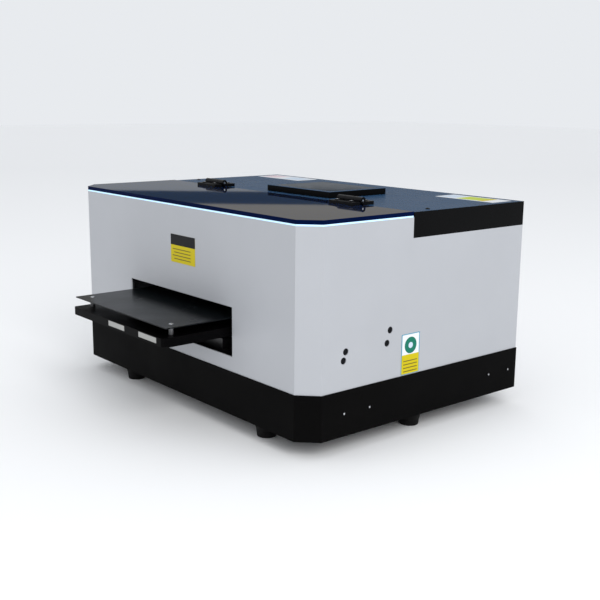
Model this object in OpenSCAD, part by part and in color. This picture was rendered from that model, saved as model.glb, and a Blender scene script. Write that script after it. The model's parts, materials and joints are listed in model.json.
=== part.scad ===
// Desktop flatbed printer: a sheet metal cabinet on six feet, a hinged tinted lid,
// a bed that slides out of the front slot, and a print carriage on a cross beam.
// Units are millimetres. X is across, Y runs from front to rear, Z is up.

/* [Cabinet] */
// Width across the black base
body_width = 560; // [556:2:580]
// Depth of the black base
body_depth = 400; // [400:2:410]
// Length of the front corner chamfers
corner_chamfer = 24; // [18:1:30]
// Height of the black base above the feet
base_height = 59.5; // [58:0.5:62]
// Height of the feet
foot_height = 23; // [15:1:30]
// Sheet thickness of the cabinet
sheet = 2; // [1.5:0.5:2]
// Height of the front slot
slot_height = 66.5; // [60:0.5:70]
// Thickness of the tinted lid
lid_thickness = 5.3; // [4:0.1:5.3]

/* [Bed] */
// Width of the black bed plate
plate_width = 242; // [230:2:244]
// Depth of the black bed plate
plate_depth = 212; // [190:2:214]
// Distance the bed stands out of the front at rest
bed_reach = 94; // [80:1:94]
// Height of the standoffs under the bed plate
standoff_height = 11.9; // [10:0.1:11.9]

/* [Touch panel] */
// Width of the raised touch panel
screen_width = 143; // [120:1:150]
// Depth of the raised touch panel
screen_depth = 112; // [90:1:130]

/* [Hidden] */
$fn = 48;
front_y = -152;
half_w = body_width / 2;
rim = 265.5;
seal_top = rim + 2.2;
cover_top = 272.2;
cover_start = 176;
cover_drop = 33.2;
slot_half = 128;
slot_bottom = 79.5;
hinge_x = [-156, 162];
hinge_y = 175.5;
hinge_z = 278.6;
hinge_screw_x = 14;
hinge_screw_y = 12.5;
leaf_top = -1.6;
plate_top = 130.8;
plate_thick = 1.5;
carrier_top = plate_top - plate_thick - standoff_height;
carrier_front = -bed_reach - 5;
carrier_back = plate_depth - bed_reach + 1;
carrier_w = plate_width / 2 - 2.5;
lip_low = carrier_top - 11;
skirt_low = carrier_top - 12.4;
carrier_corner = 4;
insert_x = [[-17.5, 24.5], [61, 104.5]];
insert_z = [carrier_top - 8.5, carrier_top - 1.2];
bed_screw_spots = [for (x = [-1, 1], y = [17.5 - bed_reach, plate_depth - bed_reach - 17])
  [x * (plate_width / 2 - 17), y]];
screen_x = 24.5;
screen_y = 251;
bezel_height = 9.3;
carriage_x = 190;
belt_y = 262;
belt_r = 8;
guide_x = 168;
fan_x = 190;
fan_z = 150;
screw_z = 91;
rear_z = cover_top - cover_drop;
foot_spots = [[-167, 28], [167, 28], [-250, 210], [250, 210], [-167, 370], [167, 370]];
base_screw_y = [60.6, 104.2, 338, 381];
plug_spots = [[63, 108.5], [59.5, 97.5], [139, 124.5], [134, 108]];
bottle_x = [-246, -204, -162];
bottle_y = [304, 350];

// Moves the cabinet's own frame (front face at 0, underside of base at 0) to the part's frame
module place() {
  translate([0, front_y, foot_height]) children();
}

module block(x, y, z) {
  translate([x[0], y[0], z[0]]) cube([x[1] - x[0], y[1] - y[0], z[1] - z[0]]);
}

module both_sides() {
  children();
  mirror([1, 0, 0]) children();
}

// Plan outline of the cabinet, set in from the base's outside
module outline(inset, back) {
  w = half_w - inset;
  c = corner_chamfer - 0.586 * inset;
  polygon([[-w + c, inset], [w - c, inset], [w, inset + c], [w, back], [-w, back], [-w, inset + c]]);
}

// Screw with its head's underside at the origin and its shank pointing down
module screw(d, length, head_d, head_h) {
  difference() {
    cylinder(h = head_h, d1 = head_d, d2 = head_d * 0.72);
    translate([-head_d * 0.3, -0.4, head_h * 0.45]) cube([head_d * 0.6, 0.8, head_h]);
    translate([-0.4, -head_d * 0.3, head_h * 0.45]) cube([0.8, head_d * 0.6, head_h]);
  }
  translate([0, 0, -length]) cylinder(h = length + 0.1, d = d);
}

// Flat ring with a round or plain outer edge
module ring(outer_r, inner_r, h) {
  difference() {
    cylinder(h = h, r = outer_r);
    translate([0, 0, -1]) cylinder(h = h + 2, r = inner_r);
  }
}

module base_tray() {
  color("#17181a") place() difference() {
    linear_extrude(base_height) outline(0, body_depth);
    translate([0, 0, sheet]) linear_extrude(base_height - 2 * sheet) outline(sheet, body_depth - sheet);
    translate([0, 0, base_height - sheet - 1]) linear_extrude(sheet + 2) outline(16, body_depth - 16);
    for (p = foot_spots) translate([p[0], p[1], -1]) cylinder(h = sheet + 2, r = 2.7);
    for (y = base_screw_y) both_sides()
      translate([half_w - sheet - 1, y, 30]) rotate([0, 90, 0]) cylinder(h = sheet + 2, r = 1.7);
    block([-232, -184], [body_depth - sheet - 1, body_depth + 1], [16, 44]);
    block([-172, -152], [body_depth - sheet - 1, body_depth + 1], [17, 43]);
    block([-108, -94], [body_depth - sheet - 1, body_depth + 1], [22, 34]);
  }
}

module body_shell() {
  color("#dfe3e8") place() difference() {
    translate([0, 0, base_height]) linear_extrude(rim - base_height) outline(1, body_depth - 1);
    translate([0, 0, base_height + sheet])
      linear_extrude(rim - base_height - 2 * sheet) outline(1 + sheet, body_depth - 1 - sheet);
    translate([0, 0, base_height - 1]) linear_extrude(sheet + 2) outline(15, body_depth - 15);
    translate([0, 0, rim - sheet - 1]) linear_extrude(sheet + 2) outline(13, cover_start - 17);
    block([-half_w, half_w], [cover_start, body_depth + 1], [rear_z, rim + 1]);
    block([-slot_half, slot_half], [-1, 1 + 2 * sheet], [slot_bottom, slot_bottom + slot_height]);
    block([-254, 254], [body_depth - 5, body_depth + 1], [78, 224]);
    for (p = plug_spots) translate([half_w - 5, p[0], p[1]]) rotate([0, 90, 0]) cylinder(h = 8, r = 4.5);
    for (x = [-258, 0, 258], z = [73, 229]) if (x != 0 || z > 100)
      translate([x, body_depth - 6, z]) rotate([-90, 0, 0]) cylinder(h = 8, r = 2.2);
  }
}

module rear_panel() {
  color("#cfd3d8") place() difference() {
    block([-264, 264], [body_depth - 1, body_depth + 1], [67, 235]);
    translate([fan_x, body_depth - 2, fan_z]) rotate([-90, 0, 0]) cylinder(h = 4, r = 37.5);
    for (x = [-32, 32], z = [-32, 32]) translate([fan_x + x, body_depth - 2, fan_z + z])
      rotate([-90, 0, 0]) cylinder(h = 4, r = 2.2);
    for (i = [0:11]) block([-210, -130], [body_depth - 2, body_depth + 2], [96 + 9 * i, 100 + 9 * i]);
    for (x = [-258, 0, 258], z = [73, 229]) if (x != 0 || z > 100)
      translate([x, body_depth - 2, z]) rotate([-90, 0, 0]) cylinder(h = 4, r = 2.2);
  }
}

module rear_cover() {
  w = half_w - 1;
  color("#1b1d20") place() difference() {
    block([-w, w], [cover_start, body_depth - 1], [rear_z, cover_top]);
    block([-w + sheet, w - sheet], [cover_start + sheet, body_depth - 1 - sheet],
      [rear_z - 1, cover_top - sheet]);
    block([-w + sheet, w - sheet], [cover_start - 1, cover_start + sheet + 1], [rear_z - 1, cover_top - 12]);
    for (h = hinge_x, x = [-1, 1]) translate([h + x * hinge_screw_x, hinge_y + hinge_screw_y,
      cover_top - sheet - 1]) cylinder(h = sheet + 2, r = 2.2);
    both_sides() translate([265, 215.5, cover_top - sheet - 1]) cylinder(h = sheet + 2, r = 1.7);
    block([-26, 76], [220, 282], [cover_top - sheet - 1, cover_top + 1]);
  }
}

module lid_seal() {
  color("#bfe6f2") place() difference() {
    translate([0, 0, rim]) linear_extrude(seal_top - rim) outline(1, cover_start - 1);
    translate([0, 0, rim - 1]) linear_extrude(seal_top - rim + 2) outline(12, cover_start - 13);
  }
}

// Hinge leaf around its own axis: a plate, and a lug and a knuckle for each segment along the pin.
// side is -1 for the front leaf, and seat is the height of the face that it lies on
module leaf(side, seat, segments) {
  z = seat - hinge_z;
  difference() {
    union() {
      translate([-24, side > 0 ? 5.1 : -19.6, z]) cube([48, 14.5, leaf_top - z]);
      for (s = segments) {
        translate([s[0], 0, 0]) rotate([0, 90, 0]) cylinder(h = s[1] - s[0], r = 4.5);
        translate([s[0], side > 0 ? 0 : -5.2, z]) cube([s[1] - s[0], 5.2, leaf_top - z]);
      }
    }
    translate([-26, 0, 0]) rotate([0, 90, 0]) cylinder(h = 52, r = 1.55);
    for (x = [-1, 1]) translate([x * hinge_screw_x, side * hinge_screw_y, z - 1]) cylinder(h = 6, r = 2.2);
  }
}

module hinge_rear_leaves() {
  color("#141517") place() for (h = hinge_x)
    translate([h, hinge_y, hinge_z]) leaf(1, cover_top, [[-24, -9.3], [9.3, 24]]);
}

module hinge_front_leaves() {
  color("#141517") place() for (h = hinge_x)
    translate([h, hinge_y, hinge_z]) leaf(-1, seal_top + lid_thickness, [[-9, 9]]);
}

module hinge_pins() {
  color("#b9bcc0") place() for (h = hinge_x)
    translate([h - 23.5, hinge_y, hinge_z]) rotate([0, 90, 0]) cylinder(h = 47, r = 1.5);
}

module hinge_rear_screws() {
  color("#d9dbde") place() for (h = hinge_x, x = [-1, 1])
    translate([h + x * hinge_screw_x, hinge_y + hinge_screw_y, hinge_z + leaf_top])
      screw(4, 8, 7.4, 1.8);
}

module hinge_front_screws() {
  color("#d9dbde") place() for (h = hinge_x, x = [-1, 1])
    translate([h + x * hinge_screw_x, hinge_y - hinge_screw_y, hinge_z + leaf_top])
      screw(4, 8, 7.4, 1.8);
}

module lid_panel() {
  color("#0e2038") place() difference() {
    translate([0, 0, seal_top]) linear_extrude(lid_thickness) outline(1, cover_start - 1);
    for (h = hinge_x, x = [-1, 1])
      translate([h + x * hinge_screw_x, hinge_y - hinge_screw_y, seal_top - 1])
        cylinder(h = lid_thickness + 2, r = 2.2);
  }
}

module screen_bezel() {
  x0 = screen_x - screen_width / 2;
  y0 = screen_y - screen_depth / 2;
  color("#101114") place() difference() {
    block([x0, x0 + screen_width], [y0, y0 + screen_depth], [cover_top, cover_top + bezel_height]);
    block([x0 + 7, x0 + screen_width - 7], [y0 + 7, y0 + screen_depth - 7],
      [cover_top + bezel_height - 1.2, cover_top + bezel_height + 1]);
    block([x0 + 10, x0 + screen_width - 10], [y0 + 10, y0 + screen_depth - 10],
      [cover_top - 1, cover_top + bezel_height]);
  }
}

module screen_glass() {
  x0 = screen_x - screen_width / 2;
  y0 = screen_y - screen_depth / 2;
  color("#20303c") place()
    block([x0 + 7.2, x0 + screen_width - 7.2], [y0 + 7.2, y0 + screen_depth - 7.2],
      [cover_top + bezel_height - 1.2, cover_top + bezel_height - 0.2]);
}

module feet() {
  color("#0f0f10") place() for (p = foot_spots) translate([p[0], p[1], -foot_height]) difference() {
    cylinder(h = foot_height, r1 = 13, r2 = 17);
    translate([0, 0, -1]) cylinder(h = 9, r = 6);
    cylinder(h = foot_height + 1, r = 2.7);
  }
}

module foot_bolts() {
  color("#9a9da1") place() for (p = foot_spots) translate([p[0], p[1], 8 - foot_height]) {
    translate([0, 0, -3.5]) cylinder(h = 3.5, r = 4.5);
    cylinder(h = foot_height - 8 + 10, r = 2.5);
  }
}

module base_screws() {
  color("#c9cbce") place() both_sides() for (y = base_screw_y)
    translate([half_w, y, 30]) rotate([0, 90, 0]) screw(3, 8, 5, 1.2);
}

module cover_screws() {
  color("#c9cbce") place() {
    both_sides() translate([265, 215.5, cover_top]) screw(3, 8, 6, 1.5);
    for (x = [-258, 0, 258], z = [73, 229]) if (x != 0 || z > 100)
      translate([x, body_depth + 1, z]) rotate([-90, 0, 0]) screw(4, 8, 8, 2);
  }
}

module side_plugs() {
  color("#0b0b0c") place() for (p = plug_spots)
    translate([half_w - 1.8, p[0], p[1]]) rotate([0, -90, 0]) {
      cylinder(h = 3, r = 4.2);
      translate([0, 0, 1.3]) cylinder(h = 1.7, r = 5.6);
    }
}

module labels() {
  color("#e8c52e") place() {
    block([-16, 44], [0.6, 1], [187, 226]);
    block([half_w - 1, half_w - 0.6], [160.5, 194], [60.5, 114.6]);
    block([160, 267], [345, 387], [cover_top, cover_top + 0.3]);
    block([-267, -155], [345, 390], [cover_top, cover_top + 0.3]);
  }
}

module gantry_uprights() {
  color("#8f959c") place() both_sides() difference() {
    union() {
      block([254, 262], [195, 245], [sheet, 232]);
      block([230, 262], [195, 245], [sheet, sheet + 6]);
    }
    translate([250, 210, sheet - 1]) cylinder(h = 9, r = 4);
  }
}

module gantry_beam() {
  color("#a8adb3") place() {
    difference() {
      block([-254, 254], [200, 240], [190, 228]);
      block([-255, 255], [203, 237], [193, 225]);
    }
    difference() {
      both_sides() block([198, 254], [239, 284], [228, 231]);
      translate([226, belt_y, 220]) cylinder(h = 20, r = 11.5);
      translate([-226, belt_y, 220]) cylinder(h = 20, r = 4.2);
    }
    both_sides() block([198, 254], [238, 240], [226, 229]);
  }
}

module x_rail() {
  color("#c4c7ca") place() difference() {
    block([-248, 248], [192, 200], [203, 215]);
    for (s = [-1, 1]) translate([-249, 196, 209 + s * 6.6]) rotate([0, 90, 0]) cylinder(h = 498, r = 1.6);
  }
}

module x_motor() {
  color("#2a2c2f") place() {
    difference() {
      block([205, 247], [belt_y - 21, belt_y + 21], [186, 228]);
      for (x = [205, 247], y = [-21, 21]) translate([x, belt_y + y, 207]) rotate([0, 0, 45])
        cube([5, 5, 60], center = true);
    }
    translate([226, belt_y, 228]) cylinder(h = 2, r = 11);
    translate([226, belt_y, 229]) cylinder(h = 15, r = 2.5);
  }
}

// Plan shape of the belt loop at a given distance from the pulley axes
module belt_loop(r) {
  translate([-226, belt_y - r]) square([452, 2 * r]);
  for (x = [-226, 226]) translate([x, belt_y]) circle(r = r);
}

module x_belt() {
  color("#1d1d1f") place() translate([0, 0, 234]) linear_extrude(6) difference() {
    belt_loop(belt_r + 1.5);
    belt_loop(belt_r);
  }
}

module pulley(x, bore) {
  place() translate([x, belt_y, 232]) difference() {
    union() {
      cylinder(h = 10.6, r = belt_r - 0.3);
      cylinder(h = 1.4, r = 10);
      translate([0, 0, 9.2]) cylinder(h = 1.4, r = 10);
      translate([0, 0, 9.2]) cylinder(h = 4, r = 6);
    }
    translate([0, 0, -1]) cylinder(h = 20, r = bore);
    for (a = [0:30:359]) rotate([0, 0, a]) translate([belt_r - 0.3, -0.6, 2]) cube([2, 1.2, 6.5]);
  }
}

module x_drive_pulley() {
  color("#b7babd") pulley(226, 2.55);
}

module x_idler_pulley() {
  color("#b7babd") {
    pulley(-226, 2.45);
    place() translate([-226, belt_y, 222]) {
      cylinder(h = 22, r = 2.5);
      translate([0, 0, 3]) cylinder(h = 10, r = 4.15);
    }
  }
}

module cap_station() {
  color("#3b3f44") place() difference() {
    union() {
      block([206, 240], [116, 174], [sheet, 104]);
      block([136, 240], [114, 176], [98, 104]);
      block([154, 226], [118, 172], [104, 120]);
      block([138, 146], [122, 168], [104, 116]);
    }
    block([158, 188], [122, 168], [108, 121]);
    block([192, 222], [122, 168], [108, 121]);
    block([210, 236], [120, 170], [6, 94]);
  }
}

module cap_seals() {
  color("#1a1a1c") place() {
    for (x = [154, 188]) difference() {
      block([x + 2, x + 36], [120, 170], [120, 131]);
      block([x + 5, x + 33], [123, 167], [119, 132]);
    }
    block([140.5, 143.5], [124, 166], [116, 131]);
  }
}

module ink_rack() {
  color("#9ea3a8") place() difference() {
    union() {
      block([-half_w + 3, -138], [280, body_depth - 3], [118, 120]);
      block([-half_w + 3, -half_w + 5], [280, body_depth - 3], [118, 150]);
      block([-half_w + 3, -138], [body_depth - 5, body_depth - 3], [118, 150]);
      block([-half_w + 3, -138], [280, 282], [118, 140]);
      block([-140, -138], [280, body_depth - 3], [118, 140]);
    }
    for (x = [-225, -183], y = [327, 373]) translate([x, y, 117]) cylinder(h = 4, r = 5);
  }
}

module ink_bottles() {
  color("#e4e6e8", 0.8) place() for (x = bottle_x, y = bottle_y) translate([x, y, 120]) rotate_extrude()
    polygon([[0, 0], [15, 0], [17.5, 2], [17.5, 58], [14, 66], [9, 70], [9, 78], [0, 78]]);
}

module bottle_caps() {
  for (i = [0:2], j = [0:1]) color(["#1a1a1c", "#149bd0", "#d1226f"][i]) place()
    translate([bottle_x[i], bottle_y[j], 198]) {
      cylinder(h = 12, r = 11);
      translate([0, 0, 12]) cylinder(h = 8, r1 = 5, r2 = 3);
    }
}

module power_supply() {
  color("#b4b8bc") place() {
    difference() {
      block([-130, -30], [210, 380], [4, 40]);
      for (i = [0:10]) block([-120, -40], [222 + 12 * i, 228 + 12 * i], [38, 41]);
    }
    block([-128, -32], [380, 390], [4, 22]);
    for (x = [-120, -40], y = [220, 370]) translate([x, y, sheet]) cylinder(h = 2.5, r = 4);
  }
}

module main_board() {
  color("#1d6b3a") place() {
    block([20, 132], [130, 290], [10, 11.6]);
    for (x = [26, 126], y = [136, 284]) translate([x, y, sheet]) cylinder(h = 8.5, r = 3);
    block([40, 76], [150, 186], [11, 20]);
    for (i = [0:5]) block([96, 128], [150 + 20 * i, 164 + 20 * i], [11, 22]);
    for (x = [32, 46, 60]) translate([x, 268, 11]) cylinder(h = 18, r = 5);
    block([44, 70], [205, 235], [11, 17]);
  }
}

module fan_frame() {
  color("#1c1c1e") place() translate([fan_x, body_depth - 1, fan_z]) rotate([90, 0, 0]) difference() {
    translate([-40, -40, 0]) cube([80, 80, 25]);
    translate([0, 0, -1]) difference() {
      cylinder(h = 27, r = 37.5);
      cylinder(h = 27, r = 15);
      for (a = [45, 165, 285]) rotate([0, 0, a]) translate([0, -2.5, 22]) cube([40, 5, 5]);
    }
    translate([0, 0, -1]) cylinder(h = 21, r = 16);
    for (x = [-32, 32], y = [-32, 32]) translate([x, y, -1]) cylinder(h = 27, r = 2.2);
  }
}

module fan_rotor() {
  color("#26272a") place() translate([fan_x, body_depth - 1, fan_z]) rotate([90, 0, 0]) {
    translate([0, 0, 4]) cylinder(h = 14, r = 14);
    for (i = [0:6]) rotate([0, 0, i * 360 / 7])
      translate([13, 0, 11]) rotate([38, 0, 0]) translate([0, -1, -6]) cube([22.5, 2, 12]);
  }
}

module fan_guard() {
  color("#b9bcbf") place() translate([fan_x, body_depth + 1, fan_z]) rotate([-90, 0, 0]) {
    for (r = [12, 21, 30, 38.5]) translate([0, 0, 0.3]) ring(r, r - 1.6, 1.5);
    for (a = [45:90:359]) rotate([0, 0, a]) translate([11, -0.8, 0.3]) cube([27, 1.6, 1.2]);
    for (a = [45:90:359]) rotate([0, 0, a]) {
      translate([38, -3, 0]) cube([4, 6, 1.5]);
      translate([45.25, 0, 0]) {
        ring(4.5, 2.2, 1.5);
        translate([0, 0, 1.5]) screw(4, 24, 6.5, 1.4);
      }
    }
  }
}

module power_inlet() {
  color("#151516") place() {
    difference() {
      block([-231.6, -184.4], [370, body_depth + 1], [16.4, 43.6]);
      block([-224, -192], [384, body_depth + 3], [21, 39]);
    }
    difference() {
      block([-238, -148], [body_depth, body_depth + 2.5], [12, 48]);
      block([-224, -192], [body_depth - 1, body_depth + 3], [21, 39]);
      block([-171, -153], [body_depth - 1, body_depth + 3], [18, 42]);
    }
    difference() {
      block([-171.6, -152.4], [378, body_depth], [17.4, 42.6]);
      block([-170.4, -153.6], [380, body_depth + 1], [18.6, 41.4]);
    }
    for (x = [-216, -200]) block([x - 1, x + 1], [383, 396], [27, 30]);
    block([-209, -207], [383, 396], [32, 35]);
  }
}

module power_rocker() {
  color("#c3262c") place() translate([-162, body_depth - 4, 30]) {
    difference() {
      translate([-8, 0, 0]) rotate([0, 90, 0]) cylinder(h = 16, r = 9);
      translate([-9, -12, -12]) cube([18, 10, 24]);
      translate([-9, 5.5, 2]) rotate([-14, 0, 0]) cube([18, 8, 14]);
      translate([-9, 5.5, -2]) mirror([0, 0, 1]) rotate([-14, 0, 0]) cube([18, 8, 14]);
    }
  }
}

module usb_port() {
  color("#c8cacd") place() difference() {
    block([-107.5, -94.5], [body_depth - 16, body_depth + 0.8], [22.5, 33.5]);
    block([-106.3, -95.7], [body_depth - 13, body_depth + 2], [23.7, 32.3]);
    block([-104, -98], [body_depth - 14, body_depth - 12], [26, 30]);
  }
}

module z_guide_rods() {
  color("#d3d5d7") place() both_sides() for (y = [100, 294])
    translate([guide_x, y, sheet]) {
      cylinder(h = 110, r = 5);
      ring(11, 4.9, 10);
    }
}

module z_motors() {
  color("#2a2c2f") place() both_sides() difference() {
    union() {
      block([guide_x - 21, guide_x + 21], [176, 218], [sheet, 38]);
      translate([guide_x, 197, 38]) cylinder(h = 2, r = 11);
    }
    translate([guide_x, 197, 20]) cylinder(h = 21, r = 4.06);
  }
}

module lift_screw() {
  place() translate([guide_x, 197, 22]) {
    cylinder(h = 90, r = 4);
    translate([0, 0, 18.6]) cylinder(h = 3, r = 7);
  }
}

module z_screw_right() {
  color("#cfd1d4") lift_screw();
}

module z_screw_left() {
  color("#cfd1d4") mirror([1, 0, 0]) lift_screw();
}

module stage_frame() {
  color("#232528") place() difference() {
    union() {
      block([-92, 92], [18, 382], [72, 78]);
      block([-182, 182], [86, 308], [72, 78]);
      both_sides() block([62, 82], [20, 382], [78, 92]);
      block([-82, 82], [18, 28], [78, 92]);
      block([-16, 16], [28, 40], [78, 101]);
      block([-24, 24], [344, 348], [78, 112]);
      both_sides() block([20, 24], [348, 382], [78, 84]);
    }
    both_sides() block([106, 152], [102, 292], [71, 79]);
    both_sides() block([10, 50], [40, 330], [71, 79]);
    translate([0, 15, screw_z]) rotate([-90, 0, 0]) cylinder(h = 30, r = 4.06);
    translate([0, 343, screw_z]) rotate([-90, 0, 0]) cylinder(h = 6, r = 11.5);
    both_sides() for (y = [100, 294]) translate([guide_x, y, 70]) cylinder(h = 10, r = 8.2);
    both_sides() translate([guide_x, 197, 70]) cylinder(h = 10, r = 7.2);
  }
}

module z_bushings() {
  color("#c49a4a") place() both_sides() {
    for (y = [100, 294]) translate([guide_x, y, 0]) {
      translate([0, 0, 66]) ring(8, 5.05, 24);
      translate([0, 0, 78]) ring(12, 5.05, 4);
    }
    translate([guide_x, 197, 64]) ring(7, 4.06, 20);
    translate([guide_x, 197, 78]) ring(12, 4.06, 4);
  }
}

module y_rails() {
  color("#c4c7ca") place() both_sides() block([66, 78], [20, 382], [92, 100]);
}

module y_motor() {
  color("#2a2c2f") place() {
    block([-20, 20], [348.3, 382], [78.2, 111]);
    translate([0, 345, screw_z]) rotate([-90, 0, 0]) ring(11, 4.2, 4);
  }
}

module y_screw() {
  color("#cfd1d4") place() translate([0, 19, screw_z]) rotate([-90, 0, 0]) cylinder(h = 328.5, r = 4);
}

// Plan outline of the bed carrier, set in from its outside, with rounded front corners
module carrier_outline(inset) {
  r = carrier_corner;
  difference() {
    translate([inset - carrier_w, carrier_front + inset])
      square([2 * (carrier_w - inset), carrier_back - carrier_front]);
    both_sides() translate([carrier_w - r, carrier_front]) square([r + 1, r]);
  }
  both_sides() translate([carrier_w - r, carrier_front + r]) circle(r = r - inset);
}

module bed_carrier() {
  skin = 2.5;
  color("#1a1b1d") place() difference() {
    union() {
      translate([0, 0, lip_low]) linear_extrude(carrier_top - lip_low) difference() {
        carrier_outline(0);
        translate([-130, carrier_back]) square([260, 20]);
      }
      both_sides() block([carrier_w - skin, carrier_w], [carrier_front + 8, carrier_back],
        [skirt_low, lip_low + 1]);
    }
    translate([0, 0, lip_low - 1]) linear_extrude(carrier_top - skin - lip_low + 1) carrier_outline(skin);
    for (p = bed_screw_spots) translate([p[0], p[1], carrier_top - 4]) cylinder(h = 6, r = 1.8);
    for (x = insert_x) block(x, [carrier_front - 1, carrier_front + 2], insert_z);
  }
}

module carrier_inserts() {
  color("#cfd6dc") place() for (x = insert_x) block([x[0] + 0.1, x[1] - 0.1],
    [carrier_front - 0.3, carrier_front + 1.9], [insert_z[0] + 0.1, insert_z[1] - 0.1]);
}

module bed_plate() {
  color("#0f1012") place() difference() {
    block([-plate_width / 2, plate_width / 2], [-bed_reach, plate_depth - bed_reach],
      [plate_top - plate_thick, plate_top]);
    for (p = bed_screw_spots) translate([p[0], p[1], plate_top - plate_thick - 1]) cylinder(h = 6, r = 1.8);
  }
}

module bed_standoffs() {
  color("#b5b8bb") place() for (p = bed_screw_spots)
    translate([p[0], p[1], carrier_top]) ring(3.4, 1.8, standoff_height);
}

module bed_screws() {
  color("#d5d7da") place() for (p = bed_screw_spots)
    translate([p[0], p[1], plate_top]) screw(3.2, standoff_height + 7, 6, 0.8);
}

module rail_blocks() {
  color("#b9bcbf") place() both_sides() for (y = [24, 84]) difference() {
    block([58.5, 85.5], [y, y + 30], [95, carrier_top - 2.5]);
    block([65.9, 78.1], [y - 1, y + 31], [94, 100.2]);
  }
}

module screw_nut() {
  color("#c49a4a") place() difference() {
    union() {
      translate([0, 48, screw_z]) rotate([-90, 0, 0]) cylinder(h = 30, r = 8);
      block([-14, 14], [56, 62], [screw_z - 9, carrier_top - 2.5]);
      block([-14, 14], [52, 74], [carrier_top - 6, carrier_top - 2.5]);
    }
    translate([0, 40, screw_z]) rotate([-90, 0, 0]) cylinder(h = 60, r = 4.06);
  }
}

module carriage_frame() {
  x = carriage_x;
  color("#8d9399") place() difference() {
    union() {
      block([x - 42, x + 42], [176, 181], [146, 246]);
      block([x - 42, x - 38], [116, 177], [146, 168]);
      block([x + 38, x + 42], [116, 177], [146, 168]);
      block([x - 42, x + 42], [116, 176], [146, 150]);
      block([x - 14, x + 14], [176, 258], [243, 247]);
      block([x - 12, x + 12], [250, 252], [232.5, 244]);
      block([x - 12, x + 12], [255.2, 257.2], [232.5, 244]);
      block([x - 12, x + 12], [250, 257.2], [241, 244]);
    }
    block([x - 34, x - 4], [124, 168], [145, 151]);
    block([x + 4, x + 34], [124, 168], [145, 151]);
    block([x - 30, x + 30], [175, 182], [156, 190]);
  }
}

module head_cover() {
  x = carriage_x;
  color("#e6e8ea") place() difference() {
    block([x - 44, x + 44], [110, 175.6], [150.2, 238]);
    block([x - 42.2, x + 42.2], [112, 176], [149, 236]);
    for (i = [0:4]) block([x - 25, x + 25], [109, 113], [196 + 7 * i, 199 + 7 * i]);
  }
}

module print_heads() {
  x = carriage_x;
  color("#2f3236") place() for (s = [-19, 19]) {
    block([x + s - 14.8, x + s + 14.8], [124.2, 167.8], [136, 162]);
    block([x + s - 12, x + s + 12], [126, 166], [132, 137]);
    block([x + s - 10, x + s + 10], [132, 160], [161, 176]);
    for (dx = [-6, 6], y = [138, 154]) translate([x + s + dx, y, 175]) cylinder(h = 8, r = 2);
  }
}

module uv_lamp() {
  x = carriage_x - 44;
  color("#43474c") place() {
    difference() {
      block([x - 32, x - 0.3], [120, 172], [140, 196]);
      for (i = [0:5]) block([x - 33, x + 1], [124 + 8 * i, 128 + 8 * i], [176, 197]);
    }
    block([x - 28, x - 4], [124, 168], [136, 141]);
    block([x - 20, x + 2], [176.2, 180.8], [150, 190]);
    block([x - 20, x - 12], [171, 180], [150, 190]);
  }
}

module x_bearing_block() {
  x = carriage_x;
  color("#b9bcbf") place() for (s = [-24, 24]) difference() {
    block([x + s - 15, x + s + 15], [181, 196], [197, 221]);
    block([x + s - 16, x + s + 16], [191.8, 197], [202.9, 215.1]);
  }
}

base_tray();
body_shell();
rear_panel();
rear_cover();
lid_seal();
hinge_rear_leaves();
hinge_pins();
hinge_rear_screws();
screen_bezel();
screen_glass();
feet();
foot_bolts();
base_screws();
cover_screws();
side_plugs();
labels();
gantry_uprights();
gantry_beam();
x_rail();
x_motor();
x_belt();
cap_station();
cap_seals();
ink_rack();
ink_bottles();
bottle_caps();
power_supply();
main_board();
fan_frame();
fan_guard();
power_inlet();
usb_port();
z_guide_rods();
z_motors();
lid_panel();
hinge_front_leaves();
hinge_front_screws();
stage_frame();
y_rails();
y_motor();
z_bushings();
y_screw();
z_screw_left();
z_screw_right();
bed_carrier();
bed_plate();
bed_standoffs();
bed_screws();
carrier_inserts();
rail_blocks();
screw_nut();
carriage_frame();
head_cover();
print_heads();
uv_lamp();
x_bearing_block();
x_drive_pulley();
x_idler_pulley();
fan_rotor();
power_rocker();
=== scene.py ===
"""Looks for the desktop flatbed printer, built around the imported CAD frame."""
import json
import math
import random

import bmesh
import bpy
from mathutils import Matrix, Vector


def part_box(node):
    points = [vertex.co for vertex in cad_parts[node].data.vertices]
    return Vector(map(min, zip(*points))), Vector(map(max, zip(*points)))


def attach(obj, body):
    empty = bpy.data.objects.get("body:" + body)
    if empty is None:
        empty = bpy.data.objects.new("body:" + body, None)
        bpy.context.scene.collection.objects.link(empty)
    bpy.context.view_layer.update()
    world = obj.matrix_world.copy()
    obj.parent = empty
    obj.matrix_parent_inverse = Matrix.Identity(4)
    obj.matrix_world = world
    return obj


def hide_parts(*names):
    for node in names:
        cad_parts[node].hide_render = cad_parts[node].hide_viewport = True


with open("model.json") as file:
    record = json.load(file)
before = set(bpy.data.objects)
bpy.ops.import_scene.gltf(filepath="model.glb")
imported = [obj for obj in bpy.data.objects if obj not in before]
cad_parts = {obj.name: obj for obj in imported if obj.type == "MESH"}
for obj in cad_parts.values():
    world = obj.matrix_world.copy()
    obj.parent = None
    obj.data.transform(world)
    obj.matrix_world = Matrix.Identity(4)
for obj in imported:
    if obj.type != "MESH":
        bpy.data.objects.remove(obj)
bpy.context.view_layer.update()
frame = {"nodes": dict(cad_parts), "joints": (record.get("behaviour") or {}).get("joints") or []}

NODES = frame["nodes"]
RNG = random.Random(7)
TURN = 2 * math.pi
DUST = (0.55, 0.56, 0.58)
NOISE_RANGE = (0.3, 0.7)  # where nearly all of a noise texture's values lie


# ---------------------------------------------------------------- materials

def _node(tree, kind, x, y):
    node = tree.nodes.new(kind)
    node.location = (x, y)
    return node


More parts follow.
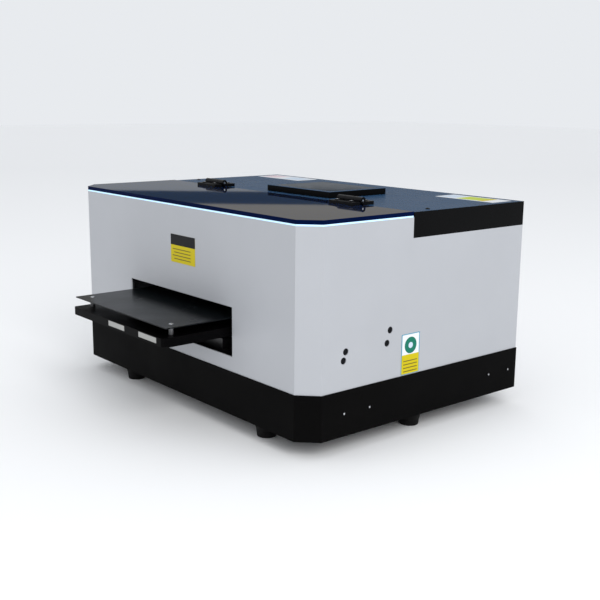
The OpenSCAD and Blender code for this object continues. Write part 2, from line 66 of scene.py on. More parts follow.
def _noise(tree, coords, scale, detail, y):
    node = _node(tree, "ShaderNodeTexNoise", -700, y)
    node.inputs["Scale"].default_value = scale
    node.inputs["Detail"].default_value = detail
    node.inputs["Roughness"].default_value = 0.55
    tree.links.new(coords, node.inputs["Vector"])
    return node.outputs["Fac"]


def _ramp(tree, fac, low, high, x, y):
    node = _node(tree, "ShaderNodeMapRange", x, y)
    node.inputs["From Min"].default_value, node.inputs["From Max"].default_value = NOISE_RANGE
    node.inputs["To Min"].default_value = low
    node.inputs["To Max"].default_value = high
    tree.links.new(fac, node.inputs["Value"])
    return node.outputs["Result"]


def _upward(tree, y):
    """The Z of the surface's normal: 1 on faces that look up."""
    geometry = _node(tree, "ShaderNodeNewGeometry", -1100, y)
    split = _node(tree, "ShaderNodeSeparateXYZ", -900, y)
    tree.links.new(geometry.outputs["Normal"], split.inputs[0])
    return split.outputs["Z"]


def _mix(tree, fac, a, b, x, y):
    """Mixes two colours, or a socket and a colour, by a factor socket."""
    node = _node(tree, "ShaderNodeMix", x, y)
    node.data_type = "RGBA"
    for value, socket in ((a, node.inputs[6]), (b, node.inputs[7])):
        if isinstance(value, bpy.types.NodeSocket):
            tree.links.new(value, socket)
        else:
            socket.default_value = (*value, 1.0)
    tree.links.new(fac, node.inputs[0])
    return node.outputs[2]


def material(name, color, rough, metallic=0.0, tint=0.05, tint_scale=9.0, smudge=0.06, smudge_scale=22.0,
             grain=0.12, grain_scale=900.0, depth=0.0001, dust=0.0, painted_reflection_top=None, **sockets):
    """A surface with colour drift, uneven gloss and a fine relief, all from noise in object space.

    The colour given for faces that look up is a painted reflection, laid on as their base colour, and
    sockets are set on the shader itself.
    """
    mat = bpy.data.materials.new(name)
    mat.use_nodes = True
    tree = mat.node_tree
    shader = tree.nodes["Principled BSDF"]
    coords = _node(tree, "ShaderNodeTexCoord", -1100, 0).outputs["Object"]
    dark = tuple(c * (1 - tint) for c in color)
    light = tuple(min(1, c * (1 + tint) + tint * 0.004) for c in color)
    drift = _ramp(tree, _noise(tree, coords, tint_scale, 3.0, 300), 0, 1, -500, 300)
    base = _mix(tree, drift, dark, light, -300, 300)
    if dust:
        up = _ramp(tree, _upward(tree, 600), 0, dust, -700, 600)
        speck = _ramp(tree, _noise(tree, coords, 160.0, 6.0, 760), 0, 1, -500, 760)
        both = _node(tree, "ShaderNodeMath", -400, 600)
        both.operation = "MULTIPLY"
        tree.links.new(up, both.inputs[0])
        tree.links.new(speck, both.inputs[1])
        base = _mix(tree, both.outputs[0], base, DUST, -150, 500)
    # Painted reflection: faces that look up take the given colour as their base colour, in place of
    # reflected sky.
    if painted_reflection_top:
        base = _mix(tree, _ramp(tree, _upward(tree, 900), 0, 1, -700, 900), base, painted_reflection_top, -100, 700)
    tree.links.new(base, shader.inputs["Base Color"])
    gloss = _ramp(tree, _noise(tree, coords, smudge_scale, 5.0, 0),
                  max(0.02, rough - smudge), min(1, rough + smudge), -500, 0)
    tree.links.new(gloss, shader.inputs["Roughness"])
    if grain:
        bump = _node(tree, "ShaderNodeBump", -300, -300)
        bump.inputs["Strength"].default_value = grain
        bump.inputs["Distance"].default_value = depth
        tree.links.new(_noise(tree, coords, grain_scale, 2.0, -300), bump.inputs["Height"])
        tree.links.new(bump.outputs[0], shader.inputs["Normal"])
    shader.inputs["Metallic"].default_value = metallic
    for key, value in sockets.items():
        shader.inputs[key.replace("_", " ")].default_value = value
    return mat


M = {
    "white": material("white_powder_coat", (0.428, 0.440, 0.466), 0.42, tint=0.02, smudge=0.05,
                      grain=0.10, grain_scale=1300.0, depth=0.00006),
    "black": material("black_powder_coat", (0.0021, 0.0020, 0.0020), 0.50, tint=0.12, grain=0.22,
                      grain_scale=1500.0, depth=0.00008, dust=0.006, Specular_IOR_Level=0.022),
    # Black satin paint. Its upward faces get a navy base colour, a painted reflection of the sky.
    "cover": material("black_satin_paint_painted_reflection_top", (0.0020, 0.0021, 0.0023), 0.27, tint=0.10, smudge=0.04,
                      grain=0.05, grain_scale=700.0, depth=0.00004, painted_reflection_top=(0.026, 0.070, 0.144),
                      Specular_IOR_Level=0.045),
    "acrylic": material("tinted_acrylic", (0.0012, 0.0075, 0.033), 0.022, tint=0.10, smudge=0.003,
                        grain=0.0, IOR=1.47),
    # Painted shade: a darker, barely reflective copy of the acrylic for the lid's side faces. Only the
    # rougher sawn finish is real.
    "acrylic_edge": material("sawn_acrylic_edge_painted_shade", (0.0002, 0.0045, 0.034), 0.30, tint=0.10, smudge=0.05,
                             grain=0.08, grain_scale=900.0, depth=0.00003, Specular_IOR_Level=0.012),
    # Painted glow: the seal emits pale blue light of its own, though it is no lamp, to stand in for the
    # lit line under the lid's edge.
    "seal": material("pale_silicone_seal_painted_glow", (0.46, 0.74, 1.0), 0.35, tint=0.03, grain=0.08,
                     grain_scale=500.0, Emission_Color=(0.62, 0.84, 1.0, 1.0), Emission_Strength=0.42),
    "hinge": material("black_cast_hinge", (0.0020, 0.0020, 0.0026), 0.30, tint=0.2, grain=0.25,
                      grain_scale=1100.0, depth=0.0001, smudge=0.08, Specular_IOR_Level=0.11),
    "dark_screw": material("blackened_steel", (0.006, 0.006, 0.007), 0.32, metallic=0.5, tint=0.1,
                           grain=0.1, grain_scale=900.0, depth=0.00004, Specular_IOR_Level=0.10),
    "steel": material("bright_steel", (0.66, 0.67, 0.69), 0.24, metallic=1.0, tint=0.06, grain=0.10,
                      grain_scale=700.0, depth=0.00004),
    "dull_steel": material("dull_nickel_steel", (0.20, 0.20, 0.205), 0.42, metallic=1.0, tint=0.08,
                           grain=0.12, grain_scale=700.0, depth=0.00004),
    "alu": material("anodised_aluminium", (0.58, 0.60, 0.62), 0.38, metallic=1.0, tint=0.05, grain=0.12,
                    grain_scale=1200.0, depth=0.00004),
    "insert": material("satin_insert", (0.35, 0.35, 0.335), 0.42, tint=0.05, grain=0.08,
                       grain_scale=900.0, depth=0.00004),
    "rubber": material("black_rubber", (0.0042, 0.0040, 0.0038), 0.62, tint=0.2, grain=0.3,
                       grain_scale=800.0, depth=0.00012, dust=0.012, Specular_IOR_Level=0.12),
    "plastic": material("black_plastic", (0.0028, 0.0034, 0.0050), 0.42, tint=0.12, grain=0.25,
                        grain_scale=1700.0, depth=0.00005, Specular_IOR_Level=0.08),
    "motor": material("black_motor_paint", (0.012, 0.012, 0.013), 0.33, tint=0.15, grain=0.15,
                      grain_scale=900.0),
    "plate": material("black_anodised_plate", (0.0026, 0.0038, 0.0048), 0.24, tint=0.12, smudge=0.04,
                      grain=0.14, grain_scale=1400.0, depth=0.00004, dust=0.005,
                      Specular_IOR_Level=0.14),
    "carrier": material("black_painted_carrier", (0.0016, 0.0015, 0.0017), 0.36, tint=0.12, grain=0.14,
                        grain_scale=1100.0, depth=0.00005, Specular_IOR_Level=0.028),
    "white_plastic": material("white_gloss_plastic", (0.74, 0.75, 0.76), 0.25, tint=0.02, grain=0.05,
                              grain_scale=500.0),
    "head": material("dark_head_plastic", (0.035, 0.038, 0.042), 0.42, tint=0.1, grain=0.2,
                     grain_scale=1200.0, depth=0.00005),
    "brass": material("turned_brass", (0.72, 0.50, 0.20), 0.28, metallic=1.0, tint=0.07, grain=0.14,
                      grain_scale=400.0, depth=0.00005),
    "board": material("circuit_board_green", (0.012, 0.14, 0.045), 0.30, tint=0.35, tint_scale=260.0,
                      grain=0.3, grain_scale=500.0, depth=0.0001),
    "zinc": material("zinc_plated_case", (0.55, 0.57, 0.59), 0.36, metallic=1.0, tint=0.16,
                     tint_scale=60.0, grain=0.1, grain_scale=300.0),
    "bottle": material("ink_bottle_plastic", (0.72, 0.73, 0.74), 0.22, tint=0.02, grain=0.05,
                       grain_scale=300.0, Transmission_Weight=0.35),
    "cap": material("ink_cap_plastic", (0.02, 0.022, 0.026), 0.3, tint=0.1, grain=0.1,
                    grain_scale=900.0),
    "red": material("red_rocker_plastic", (0.42, 0.012, 0.010), 0.22, tint=0.08, grain=0.06,
                    grain_scale=700.0),
    "glass": material("panel_glass", (0.004, 0.008, 0.013), 0.05, tint=0.15, smudge=0.02,
                      smudge_scale=60.0, grain=0.0, IOR=1.13),
}

NODE_LOOKS = {
    "black": ["base_tray"],
    "white": ["body_shell", "rear_panel"],
    # The deck and the screen bezel both carry the painted sky reflection on their tops.
    "cover": ["rear_cover", "screen_bezel"],
    "seal": ["lid_seal"],
    "hinge": ["hinge_rear_leaves", "hinge_front_leaves"],
    "steel": ["hinge_pins", "foot_bolts", "x_rail", "z_guide_rods", "rail_blocks", "x_bearing_block",
              "y_screw", "z_screw_left", "z_screw_right", "usb_port"],
    "dull_steel": ["bed_standoffs"],
    "alu": ["gantry_uprights", "gantry_beam", "carriage_frame", "ink_rack", "x_drive_pulley",
            "x_idler_pulley"],
    "insert": ["carrier_inserts"],
    "rubber": ["x_belt", "cap_seals"],
    "plastic": ["side_plugs", "cap_station", "fan_frame", "power_inlet"],
    # stage_frame and y_rails take the black motor paint so that the space under the bed stays dark:
    # painted shade on aluminium and steel parts.
    "motor": ["x_motor", "z_motors", "y_motor", "uv_lamp", "stage_frame", "y_rails"],
    "plate": ["bed_plate"],
    "carrier": ["bed_carrier"],
    "white_plastic": ["head_cover"],
    "head": ["print_heads"],
    "brass": ["z_bushings", "screw_nut"],
    "board": ["main_board"],
    "zinc": ["power_supply"],
    "bottle": ["ink_bottles"],
    "cap": ["bottle_caps"],
    "red": ["power_rocker"],
    "glass": ["screen_glass"],
}


def soften(obj, width):
    """Rounds a hard-edged CAD node with modifiers only, so its own vertices stay as they came."""
    weld = obj.modifiers.new("weld", "WELD")
    weld.merge_threshold = 2e-6
    flat = obj.modifiers.new("flat", "DECIMATE")
    flat.decimate_type = "DISSOLVE"
    flat.angle_limit = math.radians(0.6)
    bevel = obj.modifiers.new("bevel", "BEVEL")
    bevel.width = width
    bevel.segments = 2
    bevel.limit_method = "ANGLE"
    bevel.angle_limit = math.radians(32)
    bevel.use_clamp_overlap = True
    bevel.harden_normals = False
    weighted = obj.modifiers.new("normals", "WEIGHTED_NORMAL")
    weighted.keep_sharp = True
    weighted.weight = 60
    for poly in obj.data.polygons:
        poly.use_smooth = True


for look, names in NODE_LOOKS.items():
    for name in names:
        NODES[name].data.materials.clear()
        NODES[name].data.materials.append(M[look])

SOFTENED = {
    "base_tray": 0.0010, "body_shell": 0.0010, "rear_panel": 0.0004, "rear_cover": 0.0018,
    "lid_seal": 0.0004, "hinge_rear_leaves": 0.0007, "hinge_front_leaves": 0.0007,
    "screen_bezel": 0.0010, "bed_plate": 0.0005, "bed_carrier": 0.0007, "carrier_inserts": 0.0005,
    "head_cover": 0.0012, "uv_lamp": 0.0006, "carriage_frame": 0.0004, "gantry_beam": 0.0006,
    "gantry_uprights": 0.0006, "x_rail": 0.0004, "y_rails": 0.0004, "rail_blocks": 0.0006,
    "x_bearing_block": 0.0006, "stage_frame": 0.0005, "cap_station": 0.0006, "cap_seals": 0.0004,
    "power_inlet": 0.0006, "power_rocker": 0.0006, "x_motor": 0.0005, "z_motors": 0.0005,
    "y_motor": 0.0005, "power_supply": 0.0005, "print_heads": 0.0005, "ink_rack": 0.0004,
    "fan_frame": 0.0006, "screw_nut": 0.0004,
}
for name, width in SOFTENED.items():
    soften(NODES[name], width)


# ---------------------------------------------------------------- mesh helpers

def islands(name):
    """Boxes of a CAD node's separate solids, as (low, high) pairs, in a fixed order."""
    mesh = NODES[name].data
    keys, parent = {}, []

    def root(i):
        while parent[i] != i:
            parent[i] = parent[parent[i]]
            i = parent[i]
        return i

    index = []
    for v in mesh.vertices:
        key = tuple(round(c, 6) for c in v.co)
        if key not in keys:
            keys[key] = len(parent)
            parent.append(len(parent))
        index.append(keys[key])
    for poly in mesh.polygons:
        first = root(index[poly.vertices[0]])
        for v in poly.vertices[1:]:
            parent[root(index[v])] = first
    boxes = {}
    for key, i in keys.items():
        lo, hi = boxes.setdefault(root(i), ([math.inf] * 3, [-math.inf] * 3))
        for a in range(3):
            lo[a] = min(lo[a], key[a])
            hi[a] = max(hi[a], key[a])
    return sorted((tuple(lo), tuple(hi)) for lo, hi in boxes.values())


def link(name, data):
    obj = bpy.data.objects.new(name, data)
    bpy.context.scene.collection.objects.link(obj)
    return obj


def mesh_from(name, bm):
    """Turns a bmesh into a mesh, with its faces turned outwards."""
    mesh = bpy.data.meshes.new(name)
    bmesh.ops.recalc_face_normals(bm, faces=bm.faces)
    bm.to_mesh(mesh)
    bm.free()
    return mesh


def new_object(name, bm, inks, body, replaced):
    """Makes a piece that rides on a body and replaces one CAD node. inks are its materials."""
    obj = link(name, mesh_from(name, bm))
    for ink in inks:
        obj.data.materials.append(ink)
    for poly in obj.data.polygons:
        poly.use_smooth = True
    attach(obj, body)
    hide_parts(replaced)
    return obj


def smooth_by_angle(obj, degrees):
    """Marks the sharp edges, so that the rest shades smoothly."""
    bm = bmesh.new()
    bm.from_mesh(obj.data)
    limit = math.radians(degrees)
    for edge in bm.edges:
        if len(edge.link_faces) == 2:
            edge.smooth = edge.calc_face_angle(0) < limit
    bm.to_mesh(obj.data)
    bm.free()


def lathe(bm, profile, steps):
    """Adds a closed body of revolution about Z and returns its vertices.

    profile is a list of (radius, height). It runs from axis to axis, or round to its own start.
    """
    rings = []
    for radius, height in profile:
        if radius == 0:
            rings.append([bm.verts.new((0, 0, height))])
        else:
            rings.append([bm.verts.new((radius * math.cos(TURN * i / steps),
                                        radius * math.sin(TURN * i / steps), height))
                          for i in range(steps)])
    for a, b in zip(rings, rings[1:]):
        for i in range(steps):
            j = (i + 1) % steps
            quad = [a[i % len(a)], a[j % len(a)], b[j % len(b)], b[i % len(b)]]
            quad = [v for k, v in enumerate(quad) if v not in quad[:k]]
            if len(quad) > 2:
                bm.faces.new(quad)
    return [v for ring in rings for v in ring]


AIM = {
    "+Z": Matrix.Identity(3),
    "+X": Matrix.Rotation(math.pi / 2, 3, "Y"),
    "-X": Matrix.Rotation(-math.pi / 2, 3, "Y"),
    "+Y": Matrix.Rotation(-math.pi / 2, 3, "X"),
}


HEAD_UNIT = 0.5  # height of the unit screw head


def cross_screw_mesh():
    """A unit pan head, radius 1, with a cross recess cut in it. Its underside is at 0."""
    rim, dome = 0.12, 0.38  # height of the rim, and of the dome above it
    arc = [(math.sin(math.radians(a)), rim + dome * math.cos(math.radians(a)))
           for a in range(90, 0, -10)]
    bm = bmesh.new()
    lathe(bm, [(0, 0), (0.93, 0), (1.0, 0.05)] + arc + [(0, HEAD_UNIT)], 36)
    head = mesh_from("head", bm)
    bm = bmesh.new()
    half, wide, above = 0.52, 0.085, 0.8  # an arm of the cross at the cutter's top
    low_half, low_wide, floor = 0.24, wide * 0.7, 0.20  # and at the recess's floor
    stagger = 0.01  # keeps the two arms from sharing a plane
    for k in range(2):
        top, low = [], []
        for sx, sy in ((-1, -1), (1, -1), (1, 1), (-1, 1)):
            x, y, lx, ly = half * sx, wide * sy, low_half * sx, low_wide * sy
            if k:
                x, y, lx, ly = -y, x, -ly, lx
            top.append(bm.verts.new((x, y, above + stagger * k)))
            low.append(bm.verts.new((lx, ly, floor - stagger * k)))
        bm.faces.new(top)
        bm.faces.new(low[::-1])
        for i in range(4):
            j = (i + 1) % 4
            bm.faces.new((low[i], low[j], top[j], top[i]))
    a, b = link("a", head), link("b", mesh_from("cut", bm))
    mod = a.modifiers.new("cut", "BOOLEAN")
    mod.operation, mod.object, mod.solver = "DIFFERENCE", b, "EXACT"
    mod.use_self = True
    bpy.context.view_layer.update()
    result = bpy.data.meshes.new_from_object(a.evaluated_get(bpy.context.evaluated_depsgraph_get()))
    for o in (a, b):
        bpy.data.objects.remove(o)
    return result


SCREW = cross_screw_mesh()


def screw_head(radius, height, place, painted_glint_core=0.0):
    """A bmesh of one head at its place. height scales the unit head, which is HEAD_UNIT tall.

    Within core, a share of its radius, its upper side takes the second material: bright steel as a
    painted highlight on the head.
    """
    part = bmesh.new()
    part.from_mesh(SCREW)
    for face in part.faces:
        middle = face.calc_center_median()
        # Painted highlight: the middle of the head's top takes the bright steel.
        face.material_index = int(math.hypot(middle[0], middle[1]) < painted_glint_core and middle[2] > 0.1)
    scale = Matrix.Diagonal((radius, radius, height, 1))
    bmesh.ops.transform(part, matrix=place @ scale, verts=part.verts)
    return part


def merge(bm, part):
    """Adds one bmesh to another and frees it."""
    mesh = bpy.data.meshes.new("part")
    part.to_mesh(mesh)
    part.free()
    bm.from_mesh(mesh)
    bpy.data.meshes.remove(mesh)


def screws(node, body, axes, height, look="steel", painted_glint_core=0.0):
    """Replaces a node of plain screws: each gets a domed head with a cross recess, and its shank.

    axes is the way the heads face, or a function that finds it from a screw's box. height is in metres.
    """
    bm = bmesh.new()
    for lo, hi in islands(node):
        size = [hi[a] - lo[a] for a in range(3)]
        aim = axes if isinstance(axes, str) else axes(lo, hi)
        a = "XYZ".index(aim[1])
        others = [i for i in range(3) if i != a]
        radius = max(size[i] for i in others) / 2
        centre = [(lo[i] + hi[i]) / 2 for i in range(3)]
        sign = 1 if aim[0] == "+" else -1
        tip = hi[a] if sign > 0 else lo[a]
        centre[a] = tip - sign * height
        seat = Matrix.Translation(centre) @ AIM[aim].to_4x4()
        spin = Matrix.Rotation(RNG.uniform(0, math.pi / 2), 4, "Z")
        part = screw_head(radius, height / HEAD_UNIT, seat @ spin, painted_glint_core)
        stem, foot = radius * 0.45, height - size[a]
        shank = lathe(part, [(0, 0), (stem, 0), (stem, foot), (0, foot)], 16)
        bmesh.ops.transform(part, matrix=seat, verts=shank)
        merge(bm, part)
    smooth_by_angle(new_object(node + "_detail", bm, [M[look], M["steel"]], body, node), 38)


def build_screws():
    # The dark base and hinge screws get a bright steel middle, which is a painted highlight.
    screws("base_screws", "chassis", lambda lo, hi: "+X" if lo[0] > 0 else "-X", 0.0012,
           look="dark_screw", painted_glint_core=0.5)
    screws("cover_screws", "chassis", lambda lo, hi: "+Z" if hi[2] - lo[2] > hi[1] - lo[1] else "+Y",
           0.0015, look="hinge")
    screws("hinge_rear_screws", "chassis", "+Z", 0.0018, look="dark_screw", painted_glint_core=0.5)
    screws("hinge_front_screws", "lid", "+Z", 0.0018, look="dark_screw", painted_glint_core=0.5)
    screws("bed_screws", "bed", "+Z", 0.0008)


# ---------------------------------------------------------------- labels

CORNER_STEPS = 6
FILM_LOW, FILM_TOP = -0.00030, -0.00015  # heights of the first layer, from the CAD label's outer face
LAYER_STEP = 0.00004

LABEL_COLORS = {
    "yellow": (0.60, 0.49, 0.006), "black": (0.006, 0.006, 0.007), "white": (0.78, 0.80, 0.82),
    "cyan": (0.03, 0.30, 0.44), "green": (0.008, 0.17, 0.11), "grey": (0.16, 0.13, 0.02),
    "pink": (0.72, 0.58, 0.62), "lime": (0.52, 0.62, 0.06), "pale": (0.58, 0.68, 0.80),
}
LABEL_INKS = {
    name: material("label_" + name, color, 0.40, tint=0.03, grain=0.05, grain_scale=1500.0, depth=0.00003,
                   Specular_IOR_Level=0.12)
    for name, color in LABEL_COLORS.items()
}


def rounded_outline(w, h, r):
    """The corner points of a rounded rectangle about the origin."""
    pts = []
    for cx, cy, start in ((w / 2 - r, h / 2 - r, 0), (-w / 2 + r, h / 2 - r, 90),
                          (-w / 2 + r, -h / 2 + r, 180), (w / 2 - r, -h / 2 + r, 270)):
        for i in range(CORNER_STEPS + 1):
            a = math.radians(start + 90 * i / CORNER_STEPS)
            pts.append((cx + r * math.cos(a), cy + r * math.sin(a)))
    return pts


def film(bm, matrix, w, h, r, centre, layer, ink):
    """A thin rounded sheet, placed by matrix. Each layer lies a step above the last."""
    pts = [(x + centre[0], y + centre[1]) for x, y in rounded_outline(w, h, r)]
    low, top = ([bm.verts.new(matrix @ Vector((x, y, z + LAYER_STEP * layer))) for x, y in pts]
                for z in (FILM_LOW, FILM_TOP))
    faces = [bm.faces.new(top), bm.faces.new(low[::-1])]
    for i in range(len(pts)):
        j = (i + 1) % len(pts)
        faces.append(bm.faces.new((low[i], low[j], top[j], top[i])))
    for face in faces:
        face.material_index = ink


def label(name, box, aim, blocks):
    """A printed label on the face that aim names, made of coloured blocks laid over one another.

    A block is (ink, centre x, centre y, width, height, corner radius). The radius is in metres, and the
    rest are shares of the label's own size, from its centre.
    """
    lo, hi = box
    x, y, z = ((lo[i] + hi[i]) / 2 for i in range(3))
    if aim == "-Y":
        w, h = hi[0] - lo[0], hi[2] - lo[2]
        matrix = Matrix(((1, 0, 0, x), (0, 0, -1, lo[1]), (0, 1, 0, z), (0, 0, 0, 1)))
    elif aim == "+X":
        w, h = hi[1] - lo[1], hi[2] - lo[2]
        matrix = Matrix(((0, 0, 1, hi[0]), (1, 0, 0, y), (0, 1, 0, z), (0, 0, 0, 1)))
    else:
        w, h = hi[0] - lo[0], hi[1] - lo[1]
        matrix = Matrix(((1, 0, 0, x), (0, 1, 0, y), (0, 0, 1, hi[2]), (0, 0, 0, 1)))
    inks = list(dict.fromkeys(block[0] for block in blocks))
    bm = bmesh.new()
    for layer, (ink, cx, cy, bw, bh, r) in enumerate(blocks):
        film(bm, matrix, bw * w, bh * h, r, (cx * w, cy * h), layer, inks.index(ink))
    obj = new_object(name, bm, [LABEL_INKS[ink] for ink in inks], "chassis", "labels")
    for poly in obj.data.polygons:
        poly.use_smooth = False


def build_labels():
    """Plain blocks of colour and plain lines. There is no lettering and no picture on them."""
    boxes = islands("labels")
    front = min(boxes, key=lambda b: b[0][1])
    side = max(boxes, key=lambda b: b[0][0])
    left, right = sorted(b for b in boxes if b is not front and b is not side)
    lines = [("grey", -0.05 + 0.03 * (i % 2), -0.02 - 0.115 * i, 0.74 - 0.06 * (i % 2), 0.030, 0.0002)
             for i in range(4)]
    label("front_label", front, "-Y",
          [("yellow", 0, 0, 1, 1, 0.0012), ("black", 0, 0.31, 1, 0.38, 0.0008)] + lines)
    lines = [("grey", 0.0, -0.17 - 0.085 * i, 0.76, 0.022, 0.0002) for i in range(4)]
    label("side_label", side, "+X",
          [("cyan", 0, 0, 1, 1, 0.0014), ("white", 0, 0.225, 0.93, 0.515, 0.001),
           ("yellow", 0, -0.250, 0.95, 0.475, 0.001), ("green", 0, 0.21, 0.66, 0.409, 0.0110),
           ("pale", 0, 0.21, 0.24, 0.149, 0.0040)] + lines)
    label("deck_label_left", left, "+Z",
          [("white", 0, 0, 1, 1, 0.001), ("pink", -0.30, 0, 0.34, 0.7, 0.001),
           ("pale", 0.22, 0, 0.42, 0.66, 0.001)])
    label("deck_label_right", right, "+Z",
          [("white", 0, 0, 1, 1, 0.001), ("pale", -0.33, 0, 0.26, 0.72, 0.001),
           ("lime", 0.02, 0, 0.36, 0.78, 0.001), ("yellow", 0.25, 0, 0.10, 0.78, 0.001)])


# ---------------------------------------------------------------- feet, fan and lid

def build_feet():
    """Moulded rubber feet: a flared cone with a rolled lip, a groove and a hollow underside."""
    bore, roof = 0.003, 0.009  # radius of the bolt hole, and height of the hollow's roof
    bm = bmesh.new()
    for lo, hi in islands("feet"):
        h = hi[2] - lo[2]
        r = (hi[0] - lo[0]) / 2
        low = r * 13 / 17  # a foot is 17 mm in radius at the top and 13 mm at the ground
        profile = [(bore, roof), (0.0058, roof), (0.0060, 0.0), (low * 0.92, 0.0), (low * 0.98, 0.0004),
                   (low, 0.0014), (low * 1.05, h * 0.30), (low * 1.08, h * 0.34), (low * 1.05, h * 0.37),
                   (low * 1.09, h * 0.40), (low * 1.20, h * 0.72), (r * 0.985, h - 0.0030),
                   (r, h - 0.0016), (r * 0.985, h - 0.0003), (r * 0.95, h), (bore, h), (bore, roof)]
        place = Matrix.Translation(((lo[0] + hi[0]) / 2, (lo[1] + hi[1]) / 2, lo[2]))
        bmesh.ops.transform(bm, matrix=place, verts=lathe(bm, profile, 48))
    bmesh.ops.remove_doubles(bm, verts=bm.verts, dist=1e-7)
    smooth_by_angle(new_object("rubber_feet", bm, [M["rubber"]], "chassis", "feet"), 50)


FAN_CENTRE = next(j["pos_m"] for j in frame["joints"] if j["name"] == "fan_spin")


def build_fan_rotor():
    """Seven twisted, cambered blades on a domed hub."""
    blades, rows, columns = 7, 6, 5
    root, tip, half_thick = 0.0132, 0.0350, 0.0006
    bm = bmesh.new()
    hub = lathe(bm, [(0, -0.0068), (root, -0.0068), (0.0140, -0.006), (0.0140, 0.0058), (root, 0.0068),
                     (0.006, 0.0070), (0, 0.0070)], 40)
    bmesh.ops.rotate(bm, verts=hub, matrix=AIM["+Y"])
    for b in range(blades):
        spin = Matrix.Rotation(TURN * b / blades, 3, "Y")
        grid = []
        for i in range(rows + 1):
            r = root + (tip - root) * i / rows
            pitch = math.radians(52 - 24 * i / rows)
            chord = 0.0105 + 0.0050 * i / rows
            row = []
            for k in range(columns + 1):
                t = k / columns - 0.5
                sweep, camber = 0.004 * (i / rows) ** 2, 0.0012 * (1 - 4 * t * t)
                row.append((t * chord * math.cos(pitch) + sweep, t * chord * math.sin(pitch) + camber, r))
            grid.append(row)
        back, front = ([[bm.verts.new(spin @ Vector((x, y + off, z))) for x, y, z in row] for row in grid]
                       for off in (half_thick, -half_thick))
        for i in range(rows):
            for k in range(columns):
                bm.faces.new((back[i][k], back[i][k + 1], back[i + 1][k + 1], back[i + 1][k]))
                bm.faces.new((front[i][k], front[i + 1][k], front[i + 1][k + 1], front[i][k + 1]))
            for k in (0, columns):
                bm.faces.new((back[i][k], back[i + 1][k], front[i + 1][k], front[i][k]))
        for i in (0, rows):
            for k in range(columns):
                bm.faces.new((back[i][k], back[i][k + 1], front[i][k + 1], front[i][k]))
    bmesh.ops.translate(bm, verts=bm.verts, vec=FAN_CENTRE)
    rotor = new_object("fan_blades", bm, [M["plastic"]], "fan_rotor_body", "fan_rotor")
    smooth_by_angle(rotor, 50)


WIRE = 0.0007  # radius of the guard's wire
WIRE_SIDES = 8


def tube(bm, points, closed=False):
    """A round wire through the given points, which never runs straight along Y."""
    n = len(points)
    rings = []
    for i, p in enumerate(points):
        p = Vector(p)
        before = Vector(points[(i - 1) % n]) if closed or i else p
        after = Vector(points[(i + 1) % n]) if closed or i < n - 1 else p
        along = (after - before).normalized()
        side = along.cross(Vector((0, 1, 0))).normalized()
        other = along.cross(side)
        rings.append([bm.verts.new(p + WIRE * (math.cos(TURN * k / WIRE_SIDES) * side
                                               + math.sin(TURN * k / WIRE_SIDES) * other))
                      for k in range(WIRE_SIDES)])
    for i in range(n if closed else n - 1):
        a, b = rings[i], rings[(i + 1) % n]
        for k in range(WIRE_SIDES):
            m = (k + 1) % WIRE_SIDES
            bm.faces.new((a[k], a[m], b[m], b[k]))
    if not closed:
        bm.faces.new(rings[0][::-1])
        bm.faces.new(rings[-1])


def hoop(bm, centre, radius, steps):
    """A closed ring of wire, upright and facing the rear."""
    x, y, z = centre
    tube(bm, [(x + radius * math.cos(TURN * i / steps), y, z + radius * math.sin(TURN * i / steps))
              for i in range(steps)], closed=True)


def build_fan_guard():
    """Five rings and four spokes of wire. Each spoke bends to the panel, by an eye under a screw."""
    cx, _, cz = FAN_CENTRE
    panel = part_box("rear_panel")[1][1]
    plane, seat = panel + 0.0013, panel + 0.0008
    bm = bmesh.new()
    for radius in (0.009, 0.0155, 0.022, 0.0285, 0.035):
        hoop(bm, (cx, plane, cz), radius, 64)
    for k in range(4):
        a = math.pi / 4 + k * math.pi / 2
        out = Vector((math.cos(a), 0, math.sin(a)))
        tube(bm, [Vector((cx, 0, cz)) + out * d + Vector((0, y, 0))
                  for d, y in ((0.007, plane - 0.0001), (0.020, plane - 0.0001), (0.036, plane - 0.0001),
                               (0.0385, panel + 0.0010), (0.0405, seat))])
        x, _, z = Vector((cx, 0, cz)) + out * 0.04525
        hoop(bm, (x, seat, z), 0.0037, 24)
        place = (Matrix.Translation((x, plane, z)) @ AIM["+Y"].to_4x4()
                 @ Matrix.Rotation(RNG.uniform(0, 1.5), 4, "Z"))
        merge(bm, screw_head(0.0033, 0.0030, place))
    guard = new_object("fan_guard_wires", bm, [M["steel"]], "chassis", "fan_guard")
    smooth_by_angle(guard, 40)


def build_lid():
    """The lid's sheet again. Its sawn edges are rougher than its polished faces, and are also darker and
    less reflective as painted shade.
    """
    mesh = NODES["lid_panel"].data.copy()
    mesh.materials.clear()
    for look in ("acrylic", "acrylic_edge"):
        mesh.materials.append(M[look])
    for poly in mesh.polygons:
        # Faces that don't look up or down take the darker copy: painted shade on the lid's edges.
        poly.material_index = int(abs(poly.normal.z) < 0.5)
    obj = link("lid_sheet", mesh)
    soften(obj, 0.0007)
    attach(obj, "lid")
    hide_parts("lid_panel")


build_lid()
build_screws()
build_labels()
build_feet()
build_fan_rotor()
build_fan_guard()


# ---------------------------------------------------------------- stage, light and camera

def stage_material(name, **sockets):
    """A plain material for the floor and the cards. The sockets are set on its shader."""
    mat = bpy.data.materials.new(name)
    mat.use_nodes = True
    shader = mat.node_tree.nodes["Principled BSDF"]
    for key, value in sockets.items():
        shader.inputs[key.replace("_", " ")].default_value = value
    return mat


def sheet(name, corners, mat):
    """A flat face through the corners."""
    bm = bmesh.new()
    bm.faces.new([bm.verts.new(c) for c in corners])
    mesh = bpy.data.meshes.new(name)
    bm.to_mesh(mesh)
    bm.free()
    mesh.materials.append(mat)
    obj = link(name, mesh)
    return obj


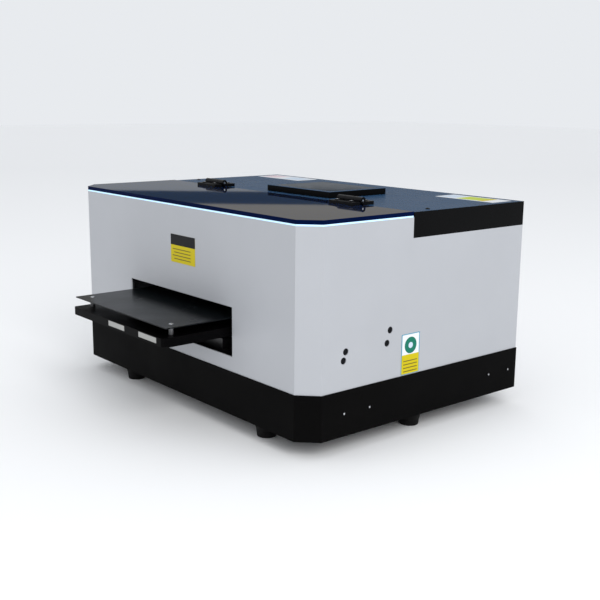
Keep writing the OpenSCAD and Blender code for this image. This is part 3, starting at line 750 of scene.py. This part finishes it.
def area_light(name, location, size, power):
    """A soft box that looks at the middle of the object."""
    data = bpy.data.lights.new(name, "AREA")
    data.shape = "RECTANGLE"
    data.size, data.size_y = size
    data.energy = power
    obj = link(name, data)
    obj.location = location
    middle = Vector((0, 0, 0.15))
    obj.rotation_euler = (middle - Vector(location)).to_track_quat("-Z", "Y").to_euler()


def build_camera():
    """The camera, as it was fitted to the object's edges."""
    place = (1.10284, -0.85244, 0.43581)
    azimuth, elevation, roll = (math.radians(a) for a in (50.068, 12.073, 0.548))
    back = Vector((math.sin(azimuth) * math.cos(elevation), -math.cos(azimuth) * math.cos(elevation),
                   math.sin(elevation)))
    right = Vector((math.cos(azimuth), math.sin(azimuth), 0))
    up = back.cross(right)
    x = right * math.cos(roll) + up * math.sin(roll)
    y = up * math.cos(roll) - right * math.sin(roll)
    data = bpy.data.cameras.new("camera")
    data.lens, data.sensor_width = 56.96, 36.0
    data.clip_start, data.clip_end = 0.01, 60.0
    obj = link("camera", data)
    obj.matrix_world = Matrix([(x[i], y[i], back[i], place[i]) for i in range(3)] + [(0, 0, 0, 1)])
    bpy.context.scene.camera = obj


def build_cards():
    """Grey cards behind the object, seen only in its glossy reflections, as studio flags are."""
    azimuth, distance, reach = math.radians(50), 4.6, 5
    away = Vector((-math.sin(azimuth), math.cos(azimuth), 0))
    side = Vector((away[1], -away[0], 0))
    for name, low, high, color in (("card_low", -0.2, 0.742, (0.30, 0.32, 0.345)),
                                   ("card_dark", 0.742, 0.822, (0.034, 0.054, 0.088)),
                                   ("card_high", 0.822, 2.0, (0.285, 0.276, 0.250))):
        glow = stage_material(name, Base_Color=(0, 0, 0, 1), Specular_IOR_Level=0,
                              Emission_Color=(*color, 1), Emission_Strength=1.0)
        corners = [away * distance + side * x + Vector((0, 0, z))
                   for x, z in ((-reach, low), (reach, low), (reach, high), (-reach, high))]
        card = sheet(name, corners, glow)
        card.visible_camera = card.visible_diffuse = False
        card.visible_shadow = card.visible_transmission = False


def build_stage():
    """A pale floor and sky, a key light on the right, and a weak fill from the front."""
    half = 12
    sheet("floor", [(-half, -half, 0), (half, -half, 0), (half, half, 0), (-half, half, 0)],
          stage_material("pale_floor", Base_Color=(0.97, 0.97, 0.97, 1), Roughness=0.9))
    world = bpy.data.worlds.new("studio")
    bpy.context.scene.world = world
    world.use_nodes = True
    background = world.node_tree.nodes["Background"]
    background.inputs["Color"].default_value = (0.94, 0.965, 1.0, 1)
    background.inputs["Strength"].default_value = 0.86
    area_light("key", (2.7, -0.9, 1.9), (1.6, 1.6), 44)
    area_light("fill", (-0.8, -2.6, 1.6), (2.0, 1.4), 3.7)
    build_cards()
    bpy.context.scene.view_settings.view_transform = "Standard"
    bpy.context.scene.view_settings.look = "None"


build_stage()
build_camera()

bpy.context.view_layer.update()
